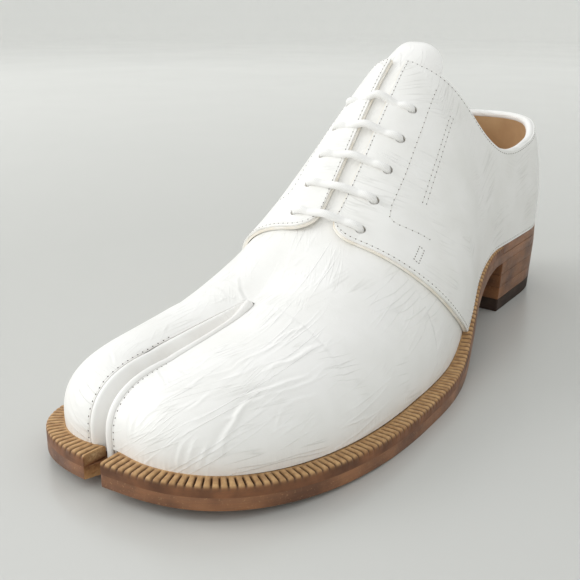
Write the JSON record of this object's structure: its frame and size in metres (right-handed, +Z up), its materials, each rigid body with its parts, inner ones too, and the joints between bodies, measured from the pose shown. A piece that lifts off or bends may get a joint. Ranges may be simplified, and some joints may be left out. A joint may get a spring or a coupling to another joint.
{
  "type": "split toe derby shoe",
  "caption": "Left derby shoe with a cleft toe, open lacing, a notched welt and a low stacked heel, empty and standing on its leather sole.",
  "frame": {"origin": "on the floor under the middle of the shoe's box", "axes": "+Z up, -Y to the toe, +X to the outer (lateral) side of the foot"},
  "size_m": [0.1076, 0.296, 0.1231],
  "materials": {
    "upper_leather": "crinkled satin white",
    "sole_leather": "waxed brown edge",
    "welt_leather": "waxed tan, notched",
    "lining_leather": "natural tan",
    "heel_rubber": "matte dark brown",
    "lace_cotton": "waxed white cord"
  },
  "bodies": {
    "root": {"outsole": "sole_leather", "welt_lateral": "welt_leather", "welt_medial": "welt_leather", "heel_rand": "sole_leather", "heel_top_piece": "heel_rubber", "heel_lift_1": "sole_leather", "heel_lift_2": "sole_leather", "heel_lift_3": "sole_leather", "upper": "upper_leather", "tongue": "upper_leather", "quarter_lateral": "upper_leather", "quarter_medial": "upper_leather", "insole": "lining_leather", "lace_bar_1": "lace_cotton", "lace_bar_2": "lace_cotton", "lace_bar_3": "lace_cotton", "lace_bar_4": "lace_cotton", "lace_bar_5": "lace_cotton"}
  },
  "joints": []
}
